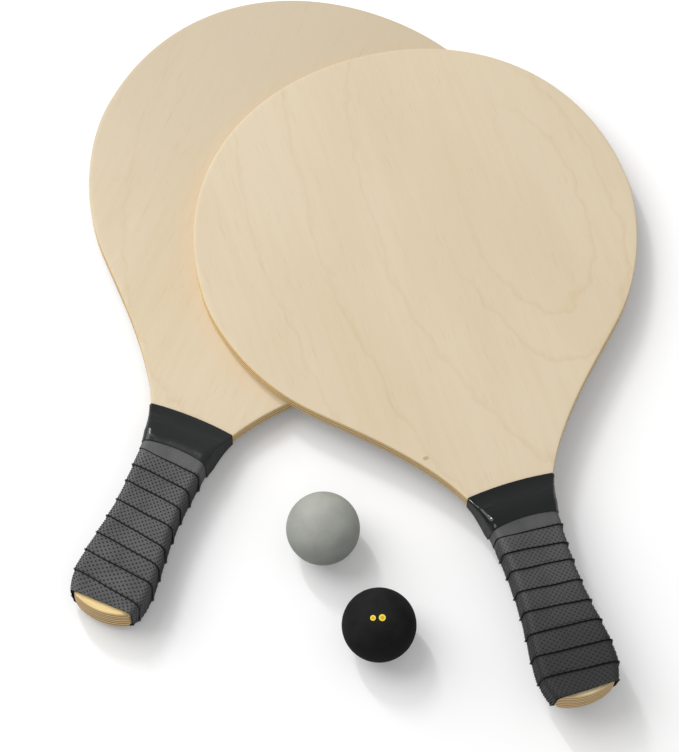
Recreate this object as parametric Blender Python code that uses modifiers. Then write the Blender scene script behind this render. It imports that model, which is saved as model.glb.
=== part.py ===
"""Paddle ball set: two plywood paddles with taped grips, one lying on the other, and two rubber balls.

Units are metres, +Z is up, and the set lies on the floor at Z = 0.
Each paddle is modelled in a frame of its own: X across the blade, Y from the neck towards the tip,
Z out of the upper face, with the middle plane of the board at Z = 0 and the neck line at Y = 0.
"""

from collections import namedtuple
from math import asin, atan2, cos, radians, sin, sqrt

import bmesh
import bpy
import numpy as np
from mathutils import Matrix, Vector
from mathutils.geometry import interpolate_bezier

# Board: one plate of plywood that is blade, neck and the core of the handle
BLADE_LENGTH = 0.278
BLADE_WIDTH = 0.252
WIDEST_FROM_NECK = 0.156
FLANK_HALF_WIDTH = 0.090
FLANK_FROM_NECK = 0.074
BOARD_THICKNESS = 0.009
RIM_ROUNDING = 0.0007

# Handle: the board's tang between two glued cheeks, sawn off in a shallow dome at the butt
LOWER_HANDLE_LENGTH = 0.1234
UPPER_HANDLE_LENGTH = 0.1264
HANDLE_THICKNESS = 0.020
THROAT_WIDTH = 0.0353
WAIST_WIDTH = 0.0308
WAIST_FROM_NECK = 0.056
SWELL_WIDTH = 0.039
SWELL_FROM_BUTT = 0.0195
BUTT_WIDTH = 0.032
DOME_RADIUS = 0.034
CHEEK_ROUNDING = 0.004
CHEEK_FROM_NECK = 0.003
CHEEK_NOSE = 0.001

# Grip tape, wound from the butt up to the neck, each turn over the edge of the one before
TAPE_THIN = 0.0012
TAPE_THICK = 0.0021
TAPE_LIP_ROUNDING = 0.0003
TAPE_LIP_START = 0.94
TURN_PITCH = 0.0103
TURN_GROWTH = 0.00035
FIRST_STRIP = 0.0105
LOWER_BUTT_REVEAL = 0.0046
UPPER_BUTT_REVEAL = 0.0026

# Neck band, stretched over the foot of the blade and the upper edge of the tape
BAND_LENGTH = 0.023
BAND_THICKNESS = 0.0006
BAND_ON_TAPE = 0.0040
BAND_BOW = 0.0028

# Balls
GREY_BALL_DIAMETER = 0.040
BLACK_BALL_DIAMETER = 0.040

# Clear gap between pieces that are glued, wound or laid on each other
SEAT_GAP = 0.0003

# How the set lies on the floor, in plan, from the neck of the lower paddle
LOWER_HEADING = radians(-22.9)
UPPER_HEADING = radians(17.8)
CROSSING_FROM_NECK = 0.028
UPPER_NECK_BEHIND = 0.0420
GREY_BALL_SPOT = (0.0719, -0.0658)
BLACK_BALL_SPOT = (0.1019, -0.1201)

# Slant of the tape's turns across the face, as each grip was wound by hand
LOWER_TURN_LEAN = -0.095
UPPER_TURN_LEAN = 0.08

BOARD_HALF = BOARD_THICKNESS / 2
HANDLE_HALF = HANDLE_THICKNESS / 2
TAPE_TOP = BAND_LENGTH - BAND_ON_TAPE
DOME_RISE = DOME_RADIUS - sqrt(DOME_RADIUS ** 2 - (BUTT_WIDTH / 2) ** 2)
TRIM = 0.002
CORNER_STEPS = 3
FLAT_STEPS = 6
DOME_STEPS = 5

Knot = namedtuple("Knot", "x y heading pull_before pull_after steps")
Station = namedtuple("Station", "y half_width half_height corner")


def clear_scene():
    for old in list(bpy.data.objects):
        bpy.data.objects.remove(old, do_unlink=True)


def make_material(name, colour, roughness):
    material = bpy.data.materials.new(name)
    material.use_nodes = True
    surface = material.node_tree.nodes["Principled BSDF"]
    surface.inputs["Base Color"].default_value = (*colour, 1.0)
    surface.inputs["Roughness"].default_value = roughness
    surface.inputs["Metallic"].default_value = 0.0
    return material


def add_collection(name):
    collection = bpy.data.collections.new(name)
    bpy.context.scene.collection.children.link(collection)
    return collection


def add_object(name, mesh, collection, material=None):
    item = bpy.data.objects.new(name, mesh)
    collection.objects.link(item)
    if material:
        mesh.materials.append(material)
    return item


def flank_knots(length):
    """Knots down the right-hand edge of the board, from the tip to the corner of the butt."""
    return (
        Knot(0, BLADE_LENGTH, 0, 0, 0.071, 22),
        Knot(BLADE_WIDTH / 2, WIDEST_FROM_NECK, -90, 0.075, 0.019, 9),
        Knot(FLANK_HALF_WIDTH, FLANK_FROM_NECK, -135, 0.037, 0.030, 8),
        Knot(THROAT_WIDTH / 2, -BAND_LENGTH, -99.5, 0.040, 0.008, 4),
        Knot(WAIST_WIDTH / 2, -WAIST_FROM_NECK, -90, 0.014, 0.020, 5),
        Knot(SWELL_WIDTH / 2, SWELL_FROM_BUTT - length, -90, 0.012, 0.007, 4),
        Knot(BUTT_WIDTH / 2, DOME_RISE - length, -112, 0.005, 0, 0),
    )


def flank(length):
    """Points down the right-hand edge: one smooth cubic between each pair of knots."""
    points = []
    knots = flank_knots(length)
    for start, end in zip(knots, knots[1:]):
        leaving = Vector((cos(radians(start.heading)), sin(radians(start.heading))))
        arriving = Vector((cos(radians(end.heading)), sin(radians(end.heading))))
        first = Vector((start.x, start.y))
        last = Vector((end.x, end.y))
        run = interpolate_bezier(first, first + leaving * start.pull_after,
                                 last - arriving * end.pull_before, last, start.steps + 1)
        points.extend(point.to_2d() for point in run[:-1])
    points.append(last)
    return points


def dome(length, reach, steps):
    """Points of the butt's arc, from a distance beside the middle to the middle."""
    points = []
    for step in range(steps + 1):
        angle = asin(reach / DOME_RADIUS) * (1 - step / steps)
        points.append(Vector((DOME_RADIUS * sin(angle), DOME_RADIUS * (1 - cos(angle)) - length)))
    return points


def half_width(y, length=UPPER_HANDLE_LENGTH):
    """Half the width between the flanks at a distance y from the neck line."""
    edge = flank(length)[::-1]
    return float(np.interp(y, [point.y for point in edge], [point.x for point in edge]))


def mirrored(right):
    """Closed outline from its right-hand half, whose first point may lie off the middle."""
    left = [Vector((-point.x, point.y)) for point in right[-2::-1]]
    if right[0].x == 0:
        left.pop()
    return right + left


def board_outline(length):
    return mirrored(flank(length)[:-1] + dome(length, BUTT_WIDTH / 2, DOME_STEPS))


def plate_mesh(name, outline, bottom, top):
    """Flat plate with the given outline, between two heights."""
    curve = bpy.data.curves.new(name + "_outline", "CURVE")
    curve.dimensions = "2D"
    curve.fill_mode = "BOTH"
    curve.extrude = (top - bottom) / 2
    spline = curve.splines.new("POLY")
    spline.points.add(len(outline) - 1)
    for place, point in zip(spline.points, outline):
        place.co = (point.x, point.y, 0, 1)
    spline.use_cyclic_u = True
    flat = bpy.data.objects.new(name + "_outline", curve)
    bpy.context.scene.collection.objects.link(flat)
    graph = bpy.context.evaluated_depsgraph_get()
    mesh = bpy.data.meshes.new_from_object(flat.evaluated_get(graph))
    bpy.data.objects.remove(flat)
    shape = bmesh.new()
    shape.from_mesh(mesh)
    bmesh.ops.remove_doubles(shape, verts=shape.verts, dist=0.00001)
    bmesh.ops.dissolve_limit(shape, angle_limit=radians(0.5), verts=shape.verts, edges=shape.edges)
    bmesh.ops.translate(shape, verts=shape.verts, vec=(0, 0, (top + bottom) / 2))
    shape.to_mesh(mesh)
    shape.free()
    mesh.name = name
    return mesh


def quarter_points(station, side, face, start):
    """Points round one rounded corner of a section, from an angle on over 90 degrees."""
    points = []
    for step in range(CORNER_STEPS + 1):
        angle = radians(start + 90 * step / CORNER_STEPS)
        x = side * (station.half_width - station.corner) + station.corner * cos(angle)
        z = face * (station.half_height - station.corner) + station.corner * sin(angle)
        points.append((x, z))
    return points


def section(station, flat_steps=FLAT_STEPS):
    """Points round a rounded rectangle across the handle, from its right side over the top."""
    flat_x = station.half_width - station.corner
    points = []
    for quarter, (side, face) in enumerate(((1, 1), (-1, 1), (-1, -1), (1, -1))):
        points.extend(quarter_points(station, side, face, 90 * quarter))
        if quarter in (0, 2):
            for step in range(1, flat_steps):
                points.append((side * flat_x * (1 - 2 * step / flat_steps), face * station.half_height))
    return points


def cheek_section(station):
    """Points round a cheek across the handle, flat below and rounded for the palm above."""
    base = BOARD_HALF + SEAT_GAP
    points = [(station.half_width, base)]
    points.extend(quarter_points(station, 1, 1, 0))
    points.extend(quarter_points(station, -1, 1, 90))
    points.append((-station.half_width, base))
    return points


def close_ring(shape, ring, y):
    """Close an open end with a fan of faces round a point on the handle's axis."""
    middle = shape.verts.new((0, y, 0))
    for one, other in zip(ring, ring[1:] + ring[:1]):
        shape.faces.new((one, other, middle))


def join_rings(shape, rings):
    for ring, following in zip(rings, rings[1:]):
        for place in range(len(ring)):
            beside = (place + 1) % len(ring)
            shape.faces.new((ring[place], ring[beside], following[beside], following[place]))


def finish_mesh(shape, name):
    bmesh.ops.recalc_face_normals(shape, faces=shape.faces)
    mesh = bpy.data.meshes.new(name)
    shape.to_mesh(mesh)
    shape.free()
    return mesh


def loft_mesh(name, stations, across):
    """Closed loft through the sections that a function gives, flat at both ends."""
    shape = bmesh.new()
    rings = []
    for station in stations:
        rings.append([shape.verts.new((x, station.y, z)) for x, z in across(station)])
    join_rings(shape, rings)
    shape.faces.new(rings[0])
    shape.faces.new(rings[-1])
    return finish_mesh(shape, name)


def handle_station(y, offset, length=UPPER_HANDLE_LENGTH):
    """Section of the bare handle at y, grown by an offset."""
    return Station(y, half_width(y, length) + offset, HANDLE_HALF + offset, CHEEK_ROUNDING + offset)


def handle_levels(top, end, length):
    """Distances along the handle at which its outline has a point, between two ends."""
    inner = [point.y for point in flank(length) if end < point.y < top]
    return [top, *inner, end]


def plain_section(station):
    return section(station, 1)


def tape_core_mesh(name, length, tape_end):
    """The space the handle takes up inside the tape."""
    levels = handle_levels(-TAPE_TOP / 2, -tape_end - TRIM, length)
    return loft_mesh(name, [handle_station(y, SEAT_GAP, length) for y in levels], plain_section)


def lip_line(turns):
    """Distance from the neck of the tape's stepped edge after a number of turns."""
    over_top = 0.75
    first = BAND_LENGTH + FIRST_STRIP - TURN_PITCH * over_top
    return -(first + TURN_PITCH * turns + TURN_GROWTH * turns * abs(turns) / 2)


def tape_growth(share, y):
    """Thickness along one turn: thin where it leaves the step, thick at its own edge."""
    past_band = -y - BAND_LENGTH - BAND_BOW - SEAT_GAP
    rise = min(max(past_band / (FIRST_STRIP / 3), 0.0), 1.0)
    return TAPE_THIN + (TAPE_THICK - TAPE_THIN) * min(share / TAPE_LIP_START, 1.0) * rise


def wound_tape_mesh(name, lean, length, tape_end):
    """Outer skin of the wound tape as one helical strip of stepped turns, closed at both ends."""
    shape = bmesh.new()
    shares = (0.0, 0.5, TAPE_LIP_START, 1.0)
    nominal = section(Station(0, WAIST_WIDTH / 2, HANDLE_HALF, CHEEK_ROUNDING))
    lengths = [0.0]
    for (x0, z0), (x1, z1) in zip(nominal, nominal[1:] + nominal[:1]):
        lengths.append(lengths[-1] + ((x1 - x0) ** 2 + (z1 - z0) ** 2) ** 0.5)
    columns = len(nominal)
    lowest = -tape_end - TRIM
    first_turn = -3
    last_turn = first_turn
    while lip_line(last_turn) > lowest - TURN_PITCH:
        last_turn += 1
    rows = []
    for turn in range(first_turn, last_turn + 1):
        for share in shares:
            row = []
            for column in range(columns):
                turned = turn + 1 - lengths[column] / lengths[-1]
                y = lip_line(turned) * (1 - share) + lip_line(turned + 1) * share
                y += lean * nominal[column][0]
                on_wood = min(y, -TAPE_TOP / 2)
                growth = tape_growth(share, y)
                if share == 1.0:
                    growth = max(growth - TAPE_LIP_ROUNDING, TAPE_THIN)
                x, z = section(handle_station(on_wood, SEAT_GAP + growth, length))[column]
                row.append(shape.verts.new((x, y, z)))
            rows.append(row)
    per_turn = len(shares)
    for level in range(len(rows) - 1):
        for column in range(columns - 1):
            shape.faces.new((rows[level][column], rows[level][column + 1],
                             rows[level + 1][column + 1], rows[level + 1][column]))
        if level >= per_turn:
            shape.faces.new((rows[level][-1], rows[level - per_turn][0],
                             rows[level - per_turn + 1][0], rows[level + 1][-1]))
    upper_end = rows[0] + [row[-1] for row in rows[1:per_turn + 1]]
    lower_end = rows[-1] + [row[0] for row in rows[-1 - per_turn:-1]]
    close_ring(shape, upper_end, rows[0][0].co.y)
    close_ring(shape, lower_end, rows[-1][0].co.y)
    return finish_mesh(shape, name)


def band_station(y, wall):
    """Section of the neck band at y, a wall's thickness outside its inner face.

    The inner face leaves the board, climbs over the cheeks' sloping noses and ends on the tape.
    """
    on_tape = TAPE_THIN + SEAT_GAP
    half_height = float(np.interp(-y, [0, CHEEK_FROM_NECK, TAPE_TOP],
                                  [BOARD_HALF, BOARD_HALF + CHEEK_NOSE, HANDLE_HALF + on_tape]))
    rise = float(np.interp(-y, [CHEEK_FROM_NECK, TAPE_TOP], [0, 1]))
    corner = RIM_ROUNDING + (CHEEK_ROUNDING + on_tape - RIM_ROUNDING) * rise ** 1.5
    offset = SEAT_GAP + wall
    return Station(y, half_width(y) + on_tape * rise ** 2 + offset, half_height + offset, corner + offset)


def band_mesh(name, top, end, wall, bow, flat_steps):
    """Closed loft along the neck band, whose rings bow towards the butt at the sides."""
    shape = bmesh.new()
    climb = [-CHEEK_FROM_NECK * (1 - share) - TAPE_TOP * share for share in (0.0, 0.25, 0.5, 0.75, 1.0)]
    nominal = section(Station(0, WAIST_WIDTH / 2, HANDLE_HALF, CHEEK_ROUNDING), flat_steps)
    rings = []
    for y in (top, *climb, end):
        ring = []
        for column, (x, z) in enumerate(nominal):
            along = y - bow * (x / (WAIST_WIDTH / 2)) ** 2
            x, z = section(band_station(along, wall), flat_steps)[column]
            ring.append(shape.verts.new((x, along, z)))
        rings.append(ring)
    join_rings(shape, rings)
    close_ring(shape, rings[0], top)
    close_ring(shape, rings[-1], end)
    return finish_mesh(shape, name)


def box_mesh(name, low, high):
    shape = bmesh.new()
    bmesh.ops.create_cube(shape, size=1.0)
    size = [b - a for a, b in zip(low, high)]
    centre = [(a + b) / 2 for a, b in zip(low, high)]
    bmesh.ops.scale(shape, verts=shape.verts, vec=size)
    bmesh.ops.translate(shape, verts=shape.verts, vec=centre)
    return finish_mesh(shape, name)


def cut_with(item, cutter, operation):
    change = item.modifiers.new(cutter.name, "BOOLEAN")
    change.operation = operation
    change.object = cutter
    change.solver = "EXACT"


def make_cutter(name, mesh, frame):
    cutter = add_object(name, mesh, cutters)
    cutter.parent = frame
    cutter.hide_render = True
    cutter.display_type = "WIRE"
    return cutter


def smooth(item, angle=30):
    item.data.shade_smooth()
    item.data.set_sharp_from_angle(angle=radians(angle))


def add_board(prefix, frame, length):
    """The plate, with an eased rim round the blade and plain edges between the cheeks."""
    mesh = plate_mesh(prefix + "_board", board_outline(length), -BOARD_HALF, BOARD_HALF)
    shape = bmesh.new()
    shape.from_mesh(mesh)
    weight = shape.edges.layers.float.new("bevel_weight_edge")
    for edge in shape.edges:
        on_blade = min(v.co.y for v in edge.verts) > -CHEEK_FROM_NECK
        if on_blade and edge.calc_face_angle() > radians(60):
            edge[weight] = 1.0
    shape.to_mesh(mesh)
    shape.free()
    board = add_object(prefix + "_board", mesh, parts, birch)
    board.parent = frame
    rim = board.modifiers.new("eased rim", "BEVEL")
    rim.width = RIM_ROUNDING
    rim.segments = 2
    rim.limit_method = "WEIGHT"
    return board


def add_cheek(prefix, side, frame, length):
    """A cheek on one face: flanks rounded for the palm, nose sloping down under the band."""
    facing = 1 if side == "top" else -1
    name = prefix + "_" + side + "_cheek"
    levels = handle_levels(-CHEEK_FROM_NECK, -length - TRIM, length)
    mesh = loft_mesh(name, [handle_station(y, 0, length) for y in levels], cheek_section)
    cheek = add_object(name, mesh, parts, birch)
    cheek.parent = frame
    cheek.rotation_euler = (0, 0 if facing > 0 else radians(180), 0)
    slope_rise = HANDLE_HALF - BOARD_HALF - CHEEK_NOSE
    slope_run = TAPE_TOP - CHEEK_FROM_NECK
    block = box_mesh(name + "_slope", (-0.1, -slope_run * 2, 0), (0.1, 0.1, 0.1))
    wedge = make_cutter(name + "_slope", block, frame)
    wedge.location = (0, -CHEEK_FROM_NECK, facing * (BOARD_HALF + CHEEK_NOSE))
    wedge.rotation_euler = (-atan2(slope_rise, slope_run), 0 if facing > 0 else radians(180), 0)
    cut_with(cheek, wedge, "DIFFERENCE")
    sawn = dome(length, SWELL_WIDTH / 2 + TRIM, DOME_STEPS + 2)
    sawn.insert(0, Vector((SWELL_WIDTH, sawn[0].y)))
    sawn.insert(0, Vector((SWELL_WIDTH, 0)))
    stock = plate_mesh(name + "_dome", mirrored(sawn), -HANDLE_THICKNESS, HANDLE_THICKNESS)
    cut_with(cheek, make_cutter(name + "_dome", stock, frame), "INTERSECT")
    return cheek


def add_grip_tape(prefix, frame, lean, length, tape_end):
    """The wound tape: stepped helical skin, cut square at both ends and hollowed for the handle."""
    name = prefix + "_grip_tape"
    tape = add_object(name, wound_tape_mesh(name, lean, length, tape_end), parts, grip_rubber)
    tape.parent = frame
    slab = box_mesh(name + "_length", (-0.1, -tape_end, -0.1), (0.1, -TAPE_TOP, 0.1))
    cut_with(tape, make_cutter(name + "_length", slab, frame), "INTERSECT")
    core = tape_core_mesh(name + "_core", length, tape_end)
    cut_with(tape, make_cutter(name + "_core", core, frame), "DIFFERENCE")
    return tape


def add_neck_band(prefix, frame):
    """The stretched film: an even wall whose ends are open round the board and round the tape."""
    name = prefix + "_neck_band"
    skin = band_mesh(name, 0, -BAND_LENGTH, BAND_THICKNESS, BAND_BOW, FLAT_STEPS)
    band = add_object(name, skin, parts, band_gloss)
    band.parent = frame
    inside = band_mesh(name + "_core", BAND_LENGTH / 3, -BAND_LENGTH * 4 / 3, 0, 0, 1)
    cut_with(band, make_cutter(name + "_core", inside, frame), "DIFFERENCE")
    smooth(band)
    return band


def add_paddle(prefix, lean, length, butt_reveal):
    frame = bpy.data.objects.new(prefix + "_paddle", None)
    parts.objects.link(frame)
    add_board(prefix, frame, length)
    add_cheek(prefix, "top", frame, length)
    add_cheek(prefix, "bottom", frame, length)
    add_grip_tape(prefix, frame, lean, length, length - butt_reveal)
    add_neck_band(prefix, frame)
    return frame


def add_ball(name, diameter, spot, material):
    shape = bmesh.new()
    bmesh.ops.create_uvsphere(shape, u_segments=32, v_segments=16, radius=diameter / 2)
    ball = add_object(name, finish_mesh(shape, name), parts, material)
    ball.location = (*spot, diameter / 2)
    ball.data.shade_smooth()
    return ball


def lower_pose():
    """The lower paddle rests on the neck band, where the handle starts, and on the rim of its tip."""
    foot = band_station(-TAPE_TOP, BAND_THICKNESS)
    dip = atan2(foot.half_height - BOARD_HALF, BLADE_LENGTH - RIM_ROUNDING - foot.y)
    height = BLADE_LENGTH * sin(dip) + BOARD_HALF * cos(dip)
    turn = Matrix.Rotation(LOWER_HEADING, 4, "Z") @ Matrix.Rotation(-dip, 4, "X")
    return Matrix.Translation((0, 0, height)) @ turn


def upper_pose(lower):
    """The upper paddle lies flat on the lower blade, turned about the blade's normal.

    It slides sideways until the two edges cross at the set distance above the lower neck.
    """
    turn = Matrix.Rotation(UPPER_HEADING - LOWER_HEADING, 4, "Z")
    across = Vector((cos(LOWER_HEADING), -sin(LOWER_HEADING), 0))
    behind = Vector((-sin(LOWER_HEADING), -cos(LOWER_HEADING), 0)) * UPPER_NECK_BEHIND
    crossing = Vector((half_width(CROSSING_FROM_NECK), CROSSING_FROM_NECK, 0))
    near = 0.0
    far = BLADE_WIDTH * 2
    for _ in range(40):
        middle = (near + far) / 2
        seen = turn.inverted() @ (crossing - across * middle - behind)
        if abs(seen.x) < half_width(seen.y):
            near = middle
        else:
            far = middle
    lift = Vector((0, 0, BOARD_THICKNESS + SEAT_GAP))
    return lower @ Matrix.Translation(across * near + behind + lift) @ turn


def stand_on_origin(frames):
    """Move the whole set so that its box stands on Z = 0 with its middle over the origin."""
    bpy.context.view_layer.update()
    graph = bpy.context.evaluated_depsgraph_get()
    corners = []
    for item in parts.objects:
        if item.type == "MESH":
            seen = item.evaluated_get(graph)
            corners.extend(seen.matrix_world @ v.co for v in seen.data.vertices)
    low = Vector([min(c[axis] for c in corners) for axis in range(3)])
    high = Vector([max(c[axis] for c in corners) for axis in range(3)])
    shift = Vector((-(low.x + high.x) / 2, -(low.y + high.y) / 2, -low.z))
    for frame in frames:
        frame.matrix_world = Matrix.Translation(shift) @ frame.matrix_world


clear_scene()
parts = add_collection("paddle_ball_set")
cutters = add_collection("cutters")

birch = make_material("birch_plywood", (0.78, 0.65, 0.46), 0.5)
grip_rubber = make_material("grip_tape", (0.055, 0.056, 0.06), 0.75)
band_gloss = make_material("neck_band", (0.012, 0.013, 0.014), 0.22)
grey_rubber = make_material("grey_rubber", (0.36, 0.37, 0.34), 0.7)
black_rubber = make_material("black_rubber", (0.018, 0.018, 0.019), 0.6)

lower_paddle = add_paddle("lower", LOWER_TURN_LEAN, LOWER_HANDLE_LENGTH, LOWER_BUTT_REVEAL)
upper_paddle = add_paddle("upper", UPPER_TURN_LEAN, UPPER_HANDLE_LENGTH, UPPER_BUTT_REVEAL)
grey_ball = add_ball("grey_ball", GREY_BALL_DIAMETER, GREY_BALL_SPOT, grey_rubber)
black_ball = add_ball("black_ball", BLACK_BALL_DIAMETER, BLACK_BALL_SPOT, black_rubber)

lower_paddle.matrix_world = lower_pose()
upper_paddle.matrix_world = upper_pose(lower_pose())
stand_on_origin((lower_paddle, upper_paddle, grey_ball, black_ball))
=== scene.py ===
# %% [markdown]
# # A paddle ball set: two plywood paddles and two rubber balls
# Each paddle is sawn from one plate of birch plywood. Two cheeks are glued on its tang to fill the
# hand, the handle is wound with perforated grip tape, and a stretched glossy film holds the tape's
# upper end. The packed model gives every piece its place and size. It is loaded first, as a frame,
# and each piece is then made again at a finer grain, with its real surface.

# %% Load the packed model
from math import asin, cos, pi, radians, sin, sqrt

import bmesh
import bpy
import numpy as np
from mathutils import Matrix, Vector
from mathutils.geometry import interpolate_bezier


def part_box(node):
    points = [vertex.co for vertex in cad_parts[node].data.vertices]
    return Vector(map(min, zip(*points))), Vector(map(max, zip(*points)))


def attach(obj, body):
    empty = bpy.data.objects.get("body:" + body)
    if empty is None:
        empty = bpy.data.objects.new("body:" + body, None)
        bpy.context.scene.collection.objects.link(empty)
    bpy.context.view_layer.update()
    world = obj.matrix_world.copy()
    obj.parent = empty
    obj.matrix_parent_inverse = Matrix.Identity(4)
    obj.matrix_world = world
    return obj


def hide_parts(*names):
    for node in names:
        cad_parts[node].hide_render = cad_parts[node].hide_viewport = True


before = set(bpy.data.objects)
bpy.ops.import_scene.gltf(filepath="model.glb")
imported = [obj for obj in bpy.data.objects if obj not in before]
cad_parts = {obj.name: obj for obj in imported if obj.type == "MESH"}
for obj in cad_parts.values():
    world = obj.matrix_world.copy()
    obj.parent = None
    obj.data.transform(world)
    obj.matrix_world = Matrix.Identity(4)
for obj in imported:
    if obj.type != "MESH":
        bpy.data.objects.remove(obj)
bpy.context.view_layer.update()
print("packed nodes:", sorted(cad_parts))

# %% [markdown]
# ## Camera
# The set is seen from above and in front, as on a table in a studio. The lens is long and stands
# 1.5 m away, so that the far paddle hardly shrinks. The tilt, the turn and the focal length were
# found by laying the two equal blade outlines over the photograph.

# %% Place the camera
VIEW_CENTRE = Vector((-0.012135, -0.019734, 0.0))
VIEW_DISTANCE = 1.5
VIEW_TILT = radians(22.25)
FOCAL_PIXELS = 2673
IMAGE_HEIGHT = 752

lens = bpy.data.cameras.new("camera")
lens.sensor_width = 36.0
lens.lens = FOCAL_PIXELS * lens.sensor_width / IMAGE_HEIGHT
lens.clip_start = 0.05
lens.clip_end = 20
camera = bpy.data.objects.new("camera", lens)
bpy.context.scene.collection.objects.link(camera)
camera.location = VIEW_CENTRE + VIEW_DISTANCE * Vector((0, -sin(VIEW_TILT), cos(VIEW_TILT)))
camera.rotation_euler = (VIEW_TILT, 0, 0)
bpy.context.scene.camera = camera
print("lens", round(lens.lens, 1), "mm")

# %% [markdown]
# ## Shader sums
# A finish is a net of small nodes, and most of them are plain sums. One class wraps an output socket
# and turns + - * / on it into Math nodes, so a recipe can be written as a formula. Any other node,
# here and in Geometry Nodes, is made by one function from its type, its settings and its inputs.

# %% Write shader sums as formulas
def add_node(tree, kind, settings, inputs):
    """Add a node, link or set its inputs, and give back its outputs."""
    made = tree.nodes.new(kind)
    for name, value in settings.items():
        setattr(made, name, value)
    for name, value in inputs.items():
        if isinstance(value, bpy.types.NodeSocket):
            tree.links.new(value, made.inputs[name])
        else:
            made.inputs[name].default_value = value
    return made.outputs


class Wire:
    """An output socket of a finish, on which sums can be written."""

    def __init__(self, finish, socket):
        self.finish = finish
        self.socket = socket

    def sum(self, operation, *others):
        return self.finish.sum(operation, self, *others)

    def __add__(self, other):
        return self.sum("ADD", other)

    def __sub__(self, other):
        return self.sum("SUBTRACT", other)

    def __rsub__(self, other):
        return self.finish.sum("SUBTRACT", other, self)

    def __mul__(self, other):
        return self.sum("MULTIPLY", other)

    def __truediv__(self, other):
        return self.sum("DIVIDE", other)

    def __pow__(self, other):
        return self.sum("POWER", other)

    def __abs__(self):
        return self.sum("ABSOLUTE")

    def root(self):
        return self.sum("SQRT")

    def rise(self, low, high):
        """0 below low, 1 above high and a smooth climb between them (high may be the lower)."""
        names = {"Value": self, "From Min": low, "From Max": high}
        return self.finish.node("ShaderNodeMapRange", {"interpolation_type": "SMOOTHSTEP"}, names)

    def output(self, name):
        """Another output of the node that this one comes from."""
        return Wire(self.finish, self.socket.node.outputs[name])

    __radd__ = __add__
    __rmul__ = __mul__


print("a wire can stand on the right of:",
      [name.strip("_")[1:] for name in vars(Wire) if name.startswith("__r")])

# %% [markdown]
# ## Finishes
# A finish is one material with its surface node. It makes the few kinds of node that every recipe
# here needs, and feeds them to the surface by the names of its inputs.

# %% Hold a finish
class Finish:
    """A material under construction: its surface and the nodes that feed it."""

    def __init__(self, name, **plain):
        self.material = bpy.data.materials.new(name)
        self.material.use_nodes = True
        self.tree = self.material.node_tree
        self.surface = self.tree.nodes["Principled BSDF"]
        for socket, value in plain.items():
            self.surface.inputs[socket.replace("_", " ")].default_value = value

    def node(self, kind, settings, inputs, output=0):
        sockets = {name: value.socket if isinstance(value, Wire) else value
                   for name, value in inputs.items()}
        return Wire(self, add_node(self.tree, kind, settings, sockets)[output])

    def sum(self, operation, *values):
        return self.node("ShaderNodeMath", {"operation": operation}, dict(enumerate(values)))

    def place(self):
        return self.node("ShaderNodeTexCoord", {}, {}, "Object")

    def split(self, vector):
        first = self.node("ShaderNodeSeparateXYZ", {}, {"Vector": vector})
        return first, first.output("Y"), first.output("Z")

    def noise(self, vector, scale, shift=(0, 0, 0), detail=2.0, roughness=0.5, distortion=0.0):
        """Cloudy noise with so many waves to the metre along each axis, taken at a shifted place."""
        place = self.node("ShaderNodeVectorMath", {"operation": "MULTIPLY_ADD"},
                          {0: vector, 1: scale, 2: shift})
        return self.node("ShaderNodeTexNoise", {},
                         {"Vector": place, "Scale": 1.0, "Detail": detail,
                          "Roughness": roughness, "Distortion": distortion})

    def mix(self, share, one, other):
        """From one colour to another: a Mix node's inputs 6 and 7 are colours, as is output 2."""
        return self.node("ShaderNodeMix", {"data_type": "RGBA"}, {0: share, 6: one, 7: other}, 2)

    def attribute(self, name):
        """A number that is stored on the mesh."""
        return self.node("ShaderNodeAttribute", {"attribute_name": name}, {}, "Fac")

    def bump(self, height, distance, strength):
        return self.node("ShaderNodeBump", {},
                         {"Height": height, "Distance": distance, "Strength": strength})

    def feed(self, **wires):
        for socket, wire in wires.items():
            self.tree.links.new(wire.socket, self.surface.inputs[socket.replace("_", " ")])


def tone(red, green, blue):
    """A colour as it is read off a screen, from 0 to 255, made linear for a shader."""
    linear = [c / 255 / 12.92 if c < 10 else ((c / 255 + 0.055) / 1.055) ** 2.4
              for c in (red, green, blue)]
    return (*linear, 1.0)


print("a mid grey of 128 is", round(tone(128, 128, 128)[0], 3), "to a shader")

# %% [markdown]
# ## Light
# A product table is lit by a pale room and one very large soft lamp high on the left, which draws the
# wide shadows to the right. A slim strip lamp beside it adds next to no light, and is there for the
# small bright glints on the glossy films. One big lamp alone would do for the wood and the rubber.

# %% Light the studio
ROOM_LIGHT = 0.53
LAMP_TILT = radians(41)
LAMP_TURN = radians(57)
LAMP_DISTANCE = 3.2
LAMP_SIZE = 3.1
LAMP_WATTS = 69
STRIP_SPOT = (-0.75, 1.15, 1.6)
STRIP_SIZE = (0.03, 0.45)
STRIP_WATTS = 8.0


def hang_lamp(name, shape, spot, size, watts):
    lamp = bpy.data.lights.new(name, "AREA")
    lamp.shape = shape
    lamp.size, lamp.size_y = size
    lamp.energy = watts
    hung = bpy.data.objects.new(name, lamp)
    bpy.context.scene.collection.objects.link(hung)
    hung.location = spot
    hung.rotation_euler = (-Vector(spot)).to_track_quat("-Z", "Y").to_euler()


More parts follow.
